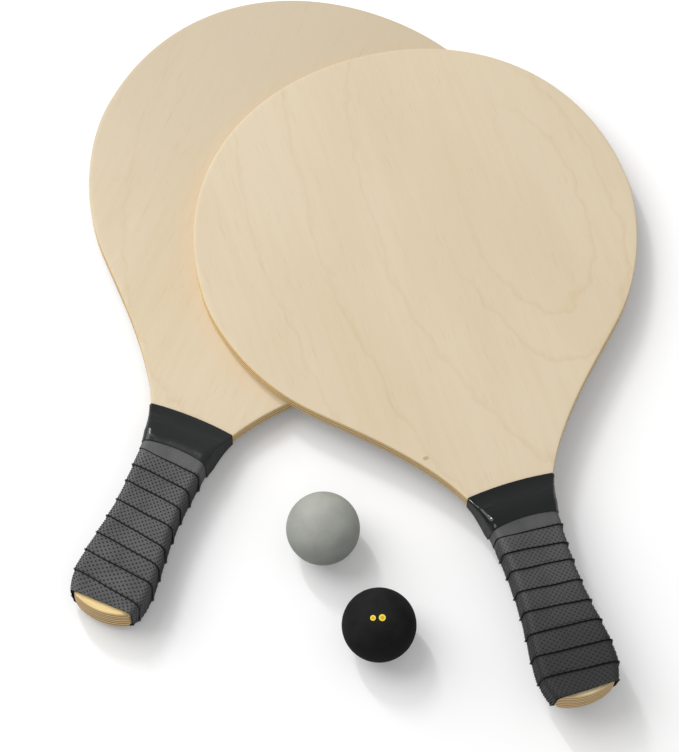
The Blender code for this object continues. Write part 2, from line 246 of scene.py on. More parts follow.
bpy.context.scene.view_settings.view_transform = "Standard"
studio = bpy.data.worlds.new("studio")
bpy.context.scene.world = studio
studio.use_nodes = True
studio.node_tree.nodes["Background"].inputs["Color"].default_value = (1, 1, 1, 1)
studio.node_tree.nodes["Background"].inputs["Strength"].default_value = ROOM_LIGHT
aim = Vector((-sin(LAMP_TURN) * sin(LAMP_TILT), cos(LAMP_TURN) * sin(LAMP_TILT), cos(LAMP_TILT)))
hang_lamp("soft lamp", "DISK", aim * LAMP_DISTANCE, (LAMP_SIZE, LAMP_SIZE), LAMP_WATTS)
hang_lamp("strip lamp", "RECTANGLE", STRIP_SPOT, STRIP_SIZE, STRIP_WATTS)
print("lamp", round(LAMP_DISTANCE, 2), "m away and", LAMP_SIZE, "m wide")

# %% [markdown]
# ## Floor
# The set lies on a wide sheet of white paper. It could be made white by more light, but the wood
# would burn out, so the paper is simply whiter to the camera and in reflections than it is to the
# light that it throws back, and it keeps the shadows.

# %% Lay the paper
PAPER_REACH = 4.0
PAPER_GLOW = 0.09
PAPER_SEEN = (0.92, 0.92, 0.92, 1)
PAPER_TO_LIGHT = (0.32, 0.32, 0.32, 1)
BLACK, WHITE = (0, 0, 0, 1), (1, 1, 1, 1)

paper = Finish("white_paper", Roughness=0.9, Specular_IOR_Level=0.0, Emission_Strength=PAPER_GLOW)
seen = paper.node("ShaderNodeLightPath", {}, {}, "Is Camera Ray")
for ray in ("Is Glossy Ray", "Is Transmission Ray"):
    seen = seen.sum("MAXIMUM", paper.node("ShaderNodeLightPath", {}, {}, ray))
paper.feed(Base_Color=paper.mix(seen, PAPER_TO_LIGHT, PAPER_SEEN),
           Emission_Color=paper.mix(seen, BLACK, WHITE))
corners = [(x * PAPER_REACH, y * PAPER_REACH, 0) for x, y in ((-1, -1), (1, -1), (1, 1), (-1, 1))]
sheet = bpy.data.meshes.new("floor")
sheet.from_pydata(corners, [], [(0, 1, 2, 3)])
sheet.materials.append(paper.material)
floor = bpy.data.objects.new("floor", sheet)
bpy.context.scene.collection.objects.link(floor)
print("paper of", 2 * PAPER_REACH, "m, finish of", len(paper.tree.nodes), "nodes")

# %% [markdown]
# ## How the paddles lie
# The lower paddle rests on the film at its neck and on the rim of its tip, so its blade dips a
# little. The upper one lies flat on that blade, turned about the blade's upright. Every piece of a
# paddle is made in the paddle's own frame, with X across the blade, Y from the neck to the tip and
# Z out of the upper face, and is carried over by one matrix.

# %% Set the two paddle frames
DIP = asin(0.02665276)
HEADING = {"lower": radians(-22.9), "upper": radians(17.8)}
NECK = {"lower": (-0.09293546, -0.05113371, 0.01190785),
        "upper": (0.07986197, -0.09291472, 0.02044458)}


def paddle_frame(which):
    turn = Matrix.Rotation(HEADING["lower"], 4, "Z") @ Matrix.Rotation(-DIP, 4, "X")
    turn = turn @ Matrix.Rotation(HEADING[which] - HEADING["lower"], 4, "Z")
    return Matrix.Translation(NECK[which]) @ turn


def on_paddle(finish, which):
    """Shader coordinates in a paddle's own frame."""
    at_rest = paddle_frame(which)
    inputs = {"Vector": finish.place(), "Location": NECK[which], "Rotation": at_rest.to_euler()}
    return finish.node("ShaderNodeMapping", {"vector_type": "TEXTURE"}, inputs)


def add_piece(name, mesh, finish, slot, *nodes):
    """Hang a finished mesh on the frame in place of the packed nodes."""
    mesh.materials.clear()
    mesh.materials.append(finish.material)
    piece = bpy.data.objects.new(name, mesh)
    bpy.context.scene.collection.objects.link(piece)
    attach(piece, "root")
    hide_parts(*nodes)
    mesh.calc_loop_triangles()
    print(name, len(mesh.loop_triangles), "triangles")


print("the lower blade dips by", round(DIP * 180 / pi, 2), "degrees")

# %% [markdown]
# ## Outline of a paddle
# A sawyer follows a drawn line with seven knots: tip, widest point, flank, throat, waist and swell of
# the handle, and the corner of the butt. Between two knots runs one smooth cubic curve. The knots are
# the part's own, and the curve is sampled four times finer, so that no corner shows on the rim.

# %% Draw the outline
BLADE_LENGTH = 0.278
BLADE_HALF = 0.126
WIDEST_AT = 0.156
BOARD_HALF = 0.0045
HANDLE_HALF = 0.010
HANDLE_LENGTH = {"lower": 0.1234, "upper": 0.1264}
WAIST_HALF = 0.0154
BUTT_HALF = 0.016
DOME_RADIUS = 0.034
DOME_RISE = DOME_RADIUS - sqrt(DOME_RADIUS ** 2 - BUTT_HALF ** 2)
DOME_STEPS = 14
FINENESS = 4


def knots(length):
    """x, y, heading in degrees, pull before, pull after and steps of each knot."""
    return ((0, BLADE_LENGTH, 0, 0, 0.071, 22),
            (BLADE_HALF, WIDEST_AT, -90, 0.075, 0.019, 9),
            (0.090, 0.074, -135, 0.037, 0.030, 8),
            (0.01765, -0.023, -99.5, 0.040, 0.008, 4),
            (WAIST_HALF, -0.056, -90, 0.014, 0.020, 5),
            (0.0195, 0.0195 - length, -90, 0.012, 0.007, 4),
            (BUTT_HALF, DOME_RISE - length, -112, 0.005, 0, 0))


def towards(degrees, pull):
    return Vector((cos(radians(degrees)), sin(radians(degrees)))) * pull


def flank(length):
    """Points down the right-hand edge, from the tip to the corner of the butt."""
    points = []
    for start, end in zip(knots(length), knots(length)[1:]):
        x, y, heading, _, pull_after, steps = start
        end_x, end_y, end_heading, pull_before, _, _ = end
        first, last = Vector((x, y)), Vector((end_x, end_y))
        run = interpolate_bezier(first, first + towards(heading, pull_after),
                                 last - towards(end_heading, pull_before), last,
                                 steps * FINENESS + 1)
        points.extend(point.to_2d() for point in run[:-1])
    return np.array(points + [last])


def half_width(y, length):
    """Half the width between the flanks at distances y from the neck."""
    edge = flank(length)[::-1]
    return np.interp(y, edge[:, 1], edge[:, 0])


def dome(x, length):
    """Distance y of the butt's shallow arc at a distance x beside the middle."""
    return DOME_RADIUS - np.sqrt(DOME_RADIUS ** 2 - np.asarray(x) ** 2) - length


def outline(length):
    """The whole closed line, as points in order."""
    right = flank(length)
    across = np.linspace(BUTT_HALF, 0, DOME_STEPS)[1:]
    right = np.vstack([right, np.column_stack([across, dome(across, length)])])
    return np.vstack([right, right[-2:0:-1] * (-1, 1)])


upper_width = 2 * half_width(WIDEST_AT, HANDLE_LENGTH["upper"])
print("outline of", len(outline(HANDLE_LENGTH["upper"])), "points,",
      round(1000 * upper_width, 1), "mm wide")

# %% [markdown]
# ## Board
# The board is blade and tang in one plate, 9 mm thick, with the sharp arris just eased by sandpaper.
# A bevelled plate would do, but its rim must stay round where the blade is held and square between
# the cheeks. So rings of points are laid round the outline, inset as the easing asks, and joined.

# %% Saw the boards
RIM_ROUNDING = 0.0007
TANG_ROUNDING = 0.00012
RIM_STEPS = 5
RIM_FADE = 0.006
FLAT_MARGIN = 0.0025


def join_rings(shape, rings, ends="open"):
    """Faces between rings of vertices, and between the last and the first where ends is "joined"."""
    pairs = list(zip(rings, rings[1:]))
    if ends == "joined":
        pairs.append((rings[-1], rings[0]))
    for ring, following in pairs:
        for place in range(len(ring)):
            beside = (place + 1) % len(ring)
            shape.faces.new((ring[place], ring[beside], following[beside], following[place]))
    if ends == "closed":
        shape.faces.new(rings[0])
        shape.faces.new(rings[-1])


def to_mesh(shape, name, which=None, crease=None):
    """Point the faces outwards, store the shape and carry it to where its paddle lies."""
    bmesh.ops.recalc_face_normals(shape, faces=shape.faces)
    mesh = bpy.data.meshes.new(name)
    shape.to_mesh(mesh)
    shape.free()
    mesh.shade_smooth()
    if crease:
        mesh.set_sharp_from_angle(angle=radians(crease))
    if which:
        mesh.transform(paddle_frame(which))
    return mesh


def board_mesh(which):
    edge = outline(HANDLE_LENGTH[which])
    along = np.roll(edge, -1, axis=0) - np.roll(edge, 1, axis=0)
    along /= np.linalg.norm(along, axis=1)[:, None]
    outwards = np.column_stack([-along[:, 1], along[:, 0]])
    rounding = np.interp(edge[:, 1], [-RIM_FADE, 0.0], [TANG_ROUNDING, RIM_ROUNDING])
    shape = bmesh.new()
    across_grain = shape.verts.layers.float.new("across_grain")
    rings = []
    for face in (1, -1):
        levels = [(np.full(len(edge), FLAT_MARGIN), np.full(len(edge), BOARD_HALF))]
        for step in range(RIM_STEPS + 1):
            angle = pi / 2 * (1 - step / RIM_STEPS)
            levels.append((rounding * (1 - cos(angle)), BOARD_HALF - rounding * (1 - sin(angle))))
        for inset, height in levels[::face]:
            places = edge - outwards * inset[:, None]
            rings.append([shape.verts.new((*place, face * z)) for place, z in zip(places, height)])
            for vert, normal in zip(rings[-1], outwards):
                vert[across_grain] = abs(normal[1])
    join_rings(shape, rings, "closed")
    return to_mesh(shape, which + "_board", which)


boards = {which: board_mesh(which) for which in ("lower", "upper")}
print("board of", len(boards["upper"].vertices), "points")

# %% [markdown]
# ## Cheeks
# Two strips of the same plywood are glued on the tang, rounded for the palm and sawn off with it in a
# shallow dome. Only their ends show, past the tape. Each one is a loft: the same section at every
# distance, whose last rings bend on to the dome's arc and step in for the eased arris.

# %% Shape the cheeks
CHEEK_ROUNDING = 0.004
CHEEK_FROM_NECK = 0.003
CHEEK_NOSE = 0.001
NOSE_RUN = 0.019
NOSE_STEPS = 8
PALM_STEPS = 60
DOME_CLEAR = 0.0008
ROUND_STEPS = 8
FLAT_STEPS = 20
GLUE_LINE = 0.00005
ARRIS = 0.0003


def cheek_section(half, height, rounding):
    """Right to left over the crown, then the glued face, with the same x places."""
    bend = np.linspace(0, pi / 2, ROUND_STEPS + 1)
    right = np.column_stack([half - rounding * (1 - np.cos(bend)),
                             height - rounding * (1 - np.sin(bend))])
    flat_x = np.linspace(1, -1, FLAT_STEPS + 1)[1:-1] * (half - rounding)
    flat = np.column_stack([flat_x, np.full(len(flat_x), height)])
    crown = np.vstack([right, flat, right[::-1] * (-1, 1)])
    base = np.column_stack([crown[:, 0], np.full(len(crown), BOARD_HALF + GLUE_LINE)])
    return crown, base


def cheek_mesh(which, side):
    length = HANDLE_LENGTH[which]
    shape = bmesh.new()
    across_grain = shape.faces.layers.float.new("across_grain")
    rings = []
    stations = [*np.linspace(-CHEEK_FROM_NECK, -NOSE_RUN, NOSE_STEPS),
                *np.linspace(-NOSE_RUN, DOME_RISE - length + DOME_CLEAR, PALM_STEPS)[1:]]
    for y in stations + ["dome", "arris"]:
        sawn = isinstance(y, str)
        inset = ARRIS if y == "arris" else 0.0
        level = DOME_RISE - length if sawn else y
        half = float(half_width(level, length)) - inset
        rise = np.interp(-level, [CHEEK_FROM_NECK, NOSE_RUN],
                         [BOARD_HALF + CHEEK_NOSE, HANDLE_HALF])
        rounding = min(CHEEK_ROUNDING, rise - BOARD_HALF - GLUE_LINE * 2) - inset
        ring = []
        for row in cheek_section(half, rise - inset, rounding):
            at = dome(row[:, 0], length) + ARRIS - inset if sawn else np.full(len(row), level)
            ring.append([shape.verts.new((x, along, z)) for (x, z), along in zip(row, at)])
        rings.append(ring)
    join_rings(shape, [crown + base[::-1] for crown, base in rings])
    for crown, base in (rings[0], rings[-1]):
        for place in range(len(crown) - 1):
            shape.faces.new((crown[place], crown[place + 1], base[place + 1], base[place]))
    end = {vert for ring in rings[-2:] for row in ring for vert in row}
    for face in shape.faces:
        face[across_grain] = float(end.issuperset(face.verts))
    if side == "bottom":
        bmesh.ops.scale(shape, verts=shape.verts, vec=(1, 1, -1))
    return to_mesh(shape, f"{which}_{side}_cheek", which, 30)


cheeks = {(which, side): cheek_mesh(which, side)
          for which in boards for side in ("top", "bottom")}
print(len(cheeks), "cheeks")

# %% [markdown]
# ## Birch veneer
# The face veneer is pale birch with faint streaks along the paddle, fine pores and, here and there, a
# flame where the knife crossed the year rings. A scan of real veneer could be laid on, but a formula
# has no edge and no repeat: rings are drawn round a far-off middle, bent and frayed by noise. All of
# it depends only on the place in the paddle's own frame.

# %% Cut the veneer
VENEER_PALE = tone(216, 200, 172)
VENEER_WARM = tone(202, 180, 143)
# the darker grey-tan tone below is painted shade, mixed in towards the tip of the blade
VENEER_PAINTED_SHADE = tone(190, 176, 151)
PORE_BROWN = tone(168, 136, 96)
KNOT_BROWN = tone(150, 112, 70)
RING_CLIMB, RING_FALL = 0.0028, 0.0008
FLAME_START, FLAME_END = 0.06, -0.02
FLAMES = 2
PIN_KNOT = {"upper": (-0.0385, 0.0275)}
PIN_CORE, PIN_RIM = 0.0008, 0.0014


def distance(x, y):
    return ((x ** 2.0) + y ** 2.0).root()


def year_rings(wood, place, x, y, middle, squash, radii):
    """Late wood of each year ring: darker towards its outer edge. The first two end as flames."""
    ragged = wood.noise(place, (90, 60, 90), (3, 1, 0), detail=3) * 0.012
    bend = wood.noise(place, (11, 5, 11), (7, 2, 0), detail=1) * 0.012
    away = distance(x - middle[0], (y - middle[1]) * squash) + (ragged + bend - 0.012)
    flame = ((y - middle[1]) * 0.7 - (x - middle[0])).rise(FLAME_START, FLAME_END)
    shade = 0.0
    for number, radius in enumerate(radii):
        ring = away.rise(radius - RING_CLIMB, radius) * away.rise(radius + RING_FALL, radius)
        shade = ring * (flame if number < FLAMES else 0.8) + shade
    return shade


def blade_veneer(wood, which, place, streak, pores, middle, squash, radii, warmth, tip_shade):
    x, y, _ = wood.split(place)
    cloud = wood.noise(place, (16, 6, 16), detail=3)
    rings = year_rings(wood, place, x, y, middle, squash, radii)
    share = warmth + cloud.rise(0.3, 0.75) * 0.35 + streak.rise(0.35, 0.7) * 0.12 + rings * 0.30
    veneer = wood.mix(share, VENEER_PALE, VENEER_WARM)
    # painted shade: the blade is darker towards its tip
    veneer = wood.mix(y.rise(0.0, 0.24) * tip_shade, veneer, VENEER_PAINTED_SHADE)
    veneer = wood.mix(pores * 0.14, veneer, PORE_BROWN)
    if which in PIN_KNOT:
        side, along = PIN_KNOT[which]
        pin = distance((x - side) / 1.5, y - along).rise(PIN_RIM, PIN_CORE)
        veneer = wood.mix(pin * 0.5, veneer, KNOT_BROWN)
    return veneer


print(len(PIN_KNOT), "pin knot in the veneers")

# %% [markdown]
# ## Sawn plywood
# A sawn edge shows the plies: pale long grain, darker end grain and thin brown glue lines between
# them. The cheeks add their own plies, and the palm's rounding cuts through the last one, so arcs of
# grain show on the butt. Height above the board's middle alone tells which ply is met.

# %% Cut the plies
PLY = 0.003
PLY_PALE = tone(255, 226, 166)
PLY_END_GRAIN = tone(250, 206, 138)
PLY_FIBRE = tone(188, 148, 98)
GLUE_BROWN = tone(112, 70, 28)
CHEEK_VENEER = {"lower": tone(240, 212, 148), "upper": tone(238, 224, 184)}
CHEEK_GRAIN = tone(196, 156, 98)
BUTT_FROM_NECK = 0.09


def ply_layers(wood, y, z, end_grain, fibres):
    """Colour of the sawn plies, and where a glue line runs."""
    level = abs(z) / PLY + 0.5
    within = level.sum("FRACT")
    outer_ply = level.sum("FLOOR").sum("MODULO", 2.0)
    on_blade_rim = y.rise(-0.004, 0.0) * abs(z).rise(0.003, 0.0032)
    glue = abs(within - 0.5).rise(0.28, 0.38) * (1.0 - on_blade_rim)
    across = abs(1.0 - outer_ply - end_grain)
    plies = wood.mix(across * 0.8, PLY_PALE, PLY_END_GRAIN)
    plies = wood.mix(fibres.rise(0.35, 0.75) * 0.25, plies, PLY_FIBRE)
    darker_at_butt = 0.55 + y.rise(-BUTT_FROM_NECK, -BUTT_FROM_NECK - 0.01) * 0.4
    return wood.mix(glue * darker_at_butt, plies, GLUE_BROWN), glue


def palm_veneer(wood, which, x, y):
    """Colour of a cheek's rounding, whose grain follows the arc of the butt."""
    arc = distance(x, y + (HANDLE_LENGTH[which] - DOME_RADIUS))
    arcs = wood.node("ShaderNodeCombineXYZ", {}, {0: arc * 2400.0, 1: x * 90.0})
    grain = wood.noise(arcs, (1, 1, 1), detail=2).rise(0.4, 0.75)
    return wood.mix(grain * 0.4, CHEEK_VENEER[which], CHEEK_GRAIN)


print("plies of", PLY * 1000, "mm")

# %% [markdown]
# ## Birch finish
# One finish dresses the board and both cheeks, because they are one kind of wood, sanded and oiled
# together. Where a piece is veneer and where it is sawn follows from the height over the board's
# middle, and from a mark that the boards and cheeks carry on their sawn faces.

# %% Dress the wood
# the last value of each blade is how much painted shade darkens it towards its tip
FLAMED = {"lower": {"middle": (0.02, 0.21), "squash": 0.6, "radii": (0.035, 0.075, 0.128),
                    "warmth": 0.16, "tip_shade": 0.70},
          "upper": {"middle": (0.062, 0.160), "squash": 0.51,
                    "radii": (0.034, 0.051, 0.085, 0.119, 0.150), "warmth": 0.06, "tip_shade": 0.12}}


def birch(which):
    wood = Finish(which + "_birch", Coat_Roughness=0.35)
    place = on_paddle(wood, which)
    x, y, z = wood.split(place)
    streak = wood.noise(place, (240, 7, 240), detail=4, roughness=0.6)
    pores = wood.noise(place, (1500, 70, 1500)).rise(0.58, 0.76)
    fibres = wood.noise(place, (900, 900, 2600), detail=3)
    end_grain = wood.attribute("across_grain")
    near_board = abs(z).rise(BOARD_HALF - 0.0004, BOARD_HALF - 0.0001)
    beyond_board = abs(z).rise(BOARD_HALF + 0.0002, BOARD_HALF + 0.0005) * (1.0 - end_grain)
    face = near_board * y.rise(-0.004, -0.002) + beyond_board
    plies, glue = ply_layers(wood, y, z, end_grain, fibres)
    veneer = blade_veneer(wood, which, place, streak, pores, **FLAMED[which])
    veneer = wood.mix(beyond_board, veneer, palm_veneer(wood, which, x, y))
    relief = streak * 0.5 - pores - (1.0 - face) * (glue + fibres) * 2.0
    wood.feed(Base_Color=wood.mix(face, plies, veneer),
              Roughness=0.40 + streak * 0.16 + pores * 0.1 + (1.0 - face) * 0.15,
              Coat_Weight=face * 0.1,
              Normal=wood.bump(relief, 0.00005, 0.5))
    return wood


for which, board in boards.items():
    wood = birch(which)
    add_piece(which + "_blade", board, wood, "blade_wood", which + "_board")
    for side in ("top", "bottom"):
        add_piece(f"{which}_{side}_glued_cheek", cheeks[which, side], wood, "cheek_wood",
                  f"{which}_{side}_cheek")

# %% [markdown]
# ## Sections of the handle
# Tape and film follow the handle's section, a rectangle with round corners that changes on the way
# down. A place round it is given as a share of the way round, from the right side over the top. Shares
# are measured on one plain section, so that the same share stays above the same edge all along.

# %% Measure round the handle
PLAIN_SECTION = (WAIST_HALF, HANDLE_HALF, CHEEK_ROUNDING)
PLAIN_CORNER = pi / 2 * CHEEK_ROUNDING
PLAIN_RUNS = (PLAIN_CORNER, 2 * (WAIST_HALF - CHEEK_ROUNDING),
              PLAIN_CORNER, 2 * (HANDLE_HALF - CHEEK_ROUNDING)) * 2
GIRTH_STOPS = np.concatenate([[0], np.cumsum(PLAIN_RUNS)]) / sum(PLAIN_RUNS)
TOP_MIDDLE = (GIRTH_STOPS[1] + GIRTH_STOPS[2]) / 2


def around(share, half, height, rounding, below=None):
    """x and z of places round sections of this half width, half height, and upper and lower corner."""
    share = np.mod(share, 1.0)
    run = np.clip(np.searchsorted(GIRTH_STOPS, share, side="right") - 1, 0, 7)
    part = (share - GIRTH_STOPS[run]) / (GIRTH_STOPS[run + 1] - GIRTH_STOPS[run])
    if below is not None:
        lower = np.select([run < 3, run == 3, run < 7], [0.0, part, 1.0], 1 - part)
        rounding = rounding + (below - rounding) * lower
    angle = (run // 2) * pi / 2 + np.where(run % 2 == 0, part * pi / 2, pi / 2)
    side_x = np.where((run < 1) | (run > 5), 1.0, -1.0)
    side_z = np.where(run < 4, 1.0, -1.0)
    side_x = np.where(run == 1, 1 - 2 * part, np.where(run == 5, 2 * part - 1, side_x))
    side_z = np.where(run == 3, 1 - 2 * part, np.where(run == 7, 2 * part - 1, side_z))
    x = side_x * (half - rounding) + rounding * np.cos(angle)
    z = side_z * (height - rounding) + rounding * np.sin(angle)
    return x, z


print("the top's middle is at", round(float(TOP_MIDDLE), 3), "of the way round")

# %% [markdown]
# ## A node tree for a sheet
# The grip tape is soft foam, punched with a lattice of fine holes in staggered rows. Thousands of
# equal holes are a task for Geometry Nodes. The tree's inputs are the sheet's sizes, by name.

# %% Open the node tree
HOLE_STEP = 0.00266
ROW_STEP = 0.00138
ROWS = 10
HOLE_WIDTH = 0.00078
HOLE_DEPTH = 0.0003
TAPE_SHEET = 0.00085
WELD = 0.00001
LENGTHS = ("hole step", "row step", "hole width", "hole depth", "thickness")
COUNTS = ("holes along", "rows")


class SheetTree:
    """The node tree under construction, with its inputs by name."""

    def __init__(self):
        self.tree = bpy.data.node_groups.new("perforated_sheet", "GeometryNodeTree")
        kinds = {**dict.fromkeys(LENGTHS, "Float"), **dict.fromkeys(COUNTS, "Int"),
                 "finish": "Material"}
        sockets = self.tree.interface
        sockets.new_socket("Geometry", in_out="OUTPUT", socket_type="NodeSocketGeometry")
        for name, kind in kinds.items():
            sockets.new_socket(name, in_out="INPUT", socket_type="NodeSocket" + kind)
        self.given = self.tree.nodes.new("NodeGroupInput").outputs
        self.here = self.shape("InputPosition")[0]

    def shape(self, kind, settings={}, **inputs):
        """A node of Geometry Nodes, with its inputs by name."""
        named = {name.replace("_", " "): value for name, value in inputs.items()}
        return add_node(self.tree, "GeometryNode" + kind, settings, named)

    def add(self, kind, settings, *values):
        return add_node(self.tree, kind, settings, dict(enumerate(values)))[0]

    def sum(self, operation, *values):
        return self.add("ShaderNodeMath", {"operation": operation}, *values)

    def times(self, one, other):
        return self.sum("MULTIPLY", one, other)

    def vector(self, operation, *values):
        return self.add("ShaderNodeVectorMath", {"operation": operation}, *values)

    def xyz(self, *values):
        return self.add("ShaderNodeCombineXYZ", {}, *values)

    def here_along(self, axis):
        return add_node(self.tree, "ShaderNodeSeparateXYZ", {}, {0: self.here})[axis]

    def moved(self, geometry, **inputs):
        return self.shape("SetPosition", Geometry=geometry, **inputs)[0]

    def merged(self, geometry):
        return self.shape("MergeByDistance", Geometry=geometry, Distance=WELD)[0]


net = SheetTree()
print("sheet tree with inputs", [socket.name for socket in net.given if socket.name])

# %% [markdown]
# ## One cell of the sheet
# A cell is an eight-sided tile, pushed inwards to a round hole and sunk to a blind pit, with a plain
# back under it. Eight sides let a tile meet the corners of its neighbours in the shifted rows.

# %% Punch one cell
def punched_cell():
    given = net.given
    half_cell = net.xyz(net.times(given["hole step"], 0.5), net.times(given["row step"], 0.5), 0.0)
    square = net.vector("MINIMUM", net.vector("MULTIPLY", net.here, (sqrt(2),) * 3), (1, 1, 1))
    square = net.vector("MAXIMUM", square, (-1, -1, -1))
    disc = net.shape("MeshCircle", {"fill_type": "NGON"}, Vertices=8, Radius=1.0)
    tile = net.moved(disc[0], Position=net.vector("MULTIPLY", square, half_cell))
    rim = net.shape("ExtrudeMesh", Mesh=tile, Offset_Scale=0.0, Individual=False)
    unit = net.vector("DIVIDE", net.here, net.vector("ADD", half_cell, (0, 0, 1)))
    radius = net.times(given["hole width"], 0.5)
    on_hole = net.vector("MULTIPLY", net.vector("NORMALIZE", unit), net.xyz(radius, radius, 0.0))
    punched = net.moved(rim[0], Selection=rim[1], Position=on_hole)
    sunk = net.shape("ExtrudeMesh", Mesh=punched, Selection=rim[1], Offset=(0, 0, -1),
                     Offset_Scale=given["hole depth"], Individual=False)
    in_pit = net.add("FunctionNodeBooleanMath", {"operation": "OR"}, sunk[1], sunk[2])
    marked = net.shape("StoreNamedAttribute", {"data_type": "FLOAT", "domain": "FACE"},
                       Geometry=sunk[0], Selection=in_pit, Name="pit", Value=1.0)
    down = net.xyz(0.0, 0.0, net.times(given["thickness"], -1.0))
    back = net.shape("Transform", Geometry=tile, Translation=down)
    back = net.shape("FlipFaces", Mesh=back[0])
    both = net.tree.nodes.new("GeometryNodeJoinGeometry")
    for half in (marked, back):
        net.tree.links.new(half[0], both.inputs[0])
    return both.outputs[0]


cell = punched_cell()
print("one cell takes", len(net.tree.nodes), "nodes")

# %% [markdown]
# ## The whole sheet
# Cells stand on a grid of points whose odd rows are shifted by half a step. Their seams merge, and
# the upper side's open edges are drawn down to the back, so that the strip is closed all round.

# %% Lay cells side by side
def lattice():
    given = net.given
    length, width = [net.times(net.sum("SUBTRACT", given[count], 1.0), given[step])
                     for count, step in (("holes along", "hole step"), ("rows", "row step"))]
    grid = net.shape("MeshGrid", Size_X=length, Size_Y=width,
                     Vertices_X=given["holes along"], Vertices_Y=given["rows"])
    height = net.sum("ADD", net.here_along(1), net.times(width, 0.5))
    row = net.sum("ROUND", net.sum("DIVIDE", height, given["row step"]))
    shift = net.times(net.sum("MODULO", row, 2.0), net.times(given["hole step"], 0.5))
    return net.moved(grid[0], Offset=net.xyz(shift, 0.0, 0.0))


def with_rim(open_sheet):
    thickness = net.given["thickness"]
    neighbours = net.shape("InputMeshEdgeNeighbors")[0]
    is_open = net.add("FunctionNodeCompare", {"data_type": "FLOAT", "operation": "LESS_THAN"},
                      neighbours, 1.5)
    is_upper = net.add("FunctionNodeCompare", {"data_type": "FLOAT", "operation": "GREATER_THAN"},
                       net.here_along(2), net.times(thickness, -0.5))
    rim = net.add("FunctionNodeBooleanMath", {"operation": "AND"}, is_open, is_upper)
    walls = net.shape("ExtrudeMesh", {"mode": "EDGES"}, Mesh=open_sheet, Selection=rim,
                      Offset=(0, 0, -1), Offset_Scale=thickness)
    return net.merged(walls[0])


cells = net.shape("InstanceOnPoints", Points=lattice(), Instance=cell)
solid = net.shape("RealizeInstances", Geometry=cells[0])
closed = with_rim(net.merged(solid[0]))
ready = net.shape("SetMaterial", Geometry=closed, Material=net.given["finish"])
net.tree.links.new(ready[0], net.tree.nodes.new("NodeGroupOutput").inputs[0])
print("the whole sheet takes", len(net.tree.nodes), "nodes")

# %% [markdown]
# ## Grip tape finish
# The foam is dull dark grey with a fine leather-like skin and lighter rubbed patches, and painted
# highlights make it lighter on the shoulders. It is black along its cut edge, and painted shade makes
# it black in its holes and in the crease before the next turn's lip. The skin's grain follows the
# strip, so it reads the strip's own flat map, and the rubbed patches read the place on the handle.
# The upper grip lies further from the lamp, and painted shade darkens it towards its butt.

# %% Mix the tape finish
FOAM_TONES = {"lower": (tone(78, 78, 79), tone(108, 108, 108)),
              "upper": (tone(66, 66, 67), tone(94, 94, 94))}
SKIN_GREY = tone(46, 46, 47)
# the next two lines give painted shade that darkens the upper grip towards its butt
FOAM_PAINTED_SHADE = tone(30, 30, 30)
BUTT_SHADE_SHARE = {"lower": 0.0, "upper": 0.8}
# painted shadow: black in the crease before each lip, between these two distances past it
LIP_SHADOW_BLACK = tone(7, 7, 7)
LIP_SHADOW_START, LIP_SHADOW_END = -0.0006, -0.0004
# painted shade in the holes, stronger on the lower grip
PIT_PAINTED_SHADE = {"lower": 0.85, "upper": 0.5}


def grip_foam(which):
    foam = Finish(which + "_grip_foam", Roughness=0.7, Specular_IOR_Level=0.4)
    strip = foam.node("ShaderNodeUVMap", {"uv_map": "strip"}, {})
    pit, edge, shoulder, past_lip = [foam.attribute(name)
                                     for name in ("pit", "cut_edge", "shoulder", "past_lip")]
    place = on_paddle(foam, which)
    along = foam.split(place)[1]
    skin = foam.noise(strip, (1700, 1700, 1), detail=3, roughness=0.6)
    wear_and_sheen = foam.noise(place, (70, 45, 70), detail=3)
    # lighter rubbed patches, and a painted highlight on the shoulders
    body = foam.mix(wear_and_sheen.rise(0.3, 0.75) * 0.6 + shoulder * wear_and_sheen * 0.7, *FOAM_TONES[which])
    body = foam.mix(skin.rise(0.35, 0.7) * 0.42, body, SKIN_GREY)
    # painted shade towards the upper grip's butt
    body = foam.mix(along.rise(-0.035, -0.115) * BUTT_SHADE_SHARE[which], body, FOAM_PAINTED_SHADE)
    # painted shade in the holes and painted shadow before each lip, joined with the black cut edge
    pit = pit * PIT_PAINTED_SHADE[which]
    dark = pit.sum("MAXIMUM", past_lip.rise(LIP_SHADOW_START, LIP_SHADOW_END)).sum("MAXIMUM", edge)
    foam.feed(Base_Color=foam.mix(dark, body, LIP_SHADOW_BLACK),
              Roughness=0.58 + wear_and_sheen * 0.2 + pit * 0.2,
              Normal=foam.bump(skin, 0.0001, 0.5))
    return foam


foams = {which: grip_foam(which) for which in ("lower", "upper")}
print("tape finish of", len(foams["upper"].tree.nodes), "nodes")

# %% [markdown]
# ## Turns of the tape
# The strip is wound from the butt to the neck, each turn over the edge of the one before, so that
# every turn ends in a small step, its lip. The lips are where they were measured on each handle, with
# the slight ripple of a strip that is pulled tight by hand.

# %% Follow the turns
GIRTH = 0.108
HOLES_ROUND = round(GIRTH / HOLE_STEP)
TURNS = 12
# millimetres from the neck to each turn's lip on the top's middle, and the lip's slope there
TURN_EDGES = {"lower": (11.0, 21.1, 31.3, 41.5, 51.9, 63.9, 75.1,
                        85.9, 97.1, 109.9, 122.6, 135.6, 148.6),
              "upper": (11.0, 21.1, 31.3, 41.3, 51.5, 63.7, 75.5,
                        87.5, 100.1, 112.3, 124.8, 137.5, 150.2)}
TURN_SLOPES = {"lower": (-.07, -.07, -.078, -.089, -.122, -.1, -.16,
                         -.17, -.14, -.178, -.178, -.178, -.178),
               "upper": (-.056, -.056, -.056, -.12, -.09, -.09, -.1,
                         -.08, -.086, -.08, -.08, -.08, -.08)}


